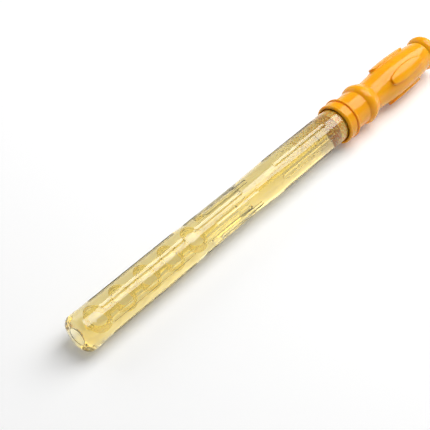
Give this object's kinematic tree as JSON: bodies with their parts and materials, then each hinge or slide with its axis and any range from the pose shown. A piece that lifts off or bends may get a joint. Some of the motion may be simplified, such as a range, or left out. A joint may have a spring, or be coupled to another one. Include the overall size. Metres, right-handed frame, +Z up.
{
  "type": "bubble wand",
  "caption": "Clear fluted tube of yellow bubble solution with an orange screw-on barrel handle that carries a ringed blowing wand inside the tube.",
  "frame": {"origin": "on the floor under the middle of the wand's length, under the axis of the tube and the handle", "axes": "+X along the wand from the tube's bottom to the handle's pommel, +Z up, the wand lying on its side"},
  "size_m": [0.361, 0.0308, 0.0308],
  "materials": {
    "clear_plastic": "clear, glossy",
    "yellow_liquid": "clear yellow liquid",
    "white_foam": "soft closed foam",
    "natural_plastic": "natural, translucent",
    "orange_plastic": "glossy moulded"
  },
  "bodies": {
    "tube_body": {"tube_shell": "clear_plastic", "bubble_solution": "yellow_liquid"},
    "seal": {"seal_washer": "white_foam"},
    "handle": {"grip": "orange_plastic", "pommel": "orange_plastic", "wand": "natural_plastic"}
  },
  "joints": [
    {"name": "pull_out", "type": "slide", "parent": "tube_body", "child": "seal", "axis": [1, 0, 0], "range_m": [0, 0.262], "deforming": ["bubble_solution"]},
    {"name": "unscrew", "type": "hinge", "parent": "seal", "child": "handle", "pos_m": [0.0775, 0, 0.0154], "axis": [1, 0, 0], "range_deg": [0, 720], "deforming": ["bubble_solution"]}
  ]
}
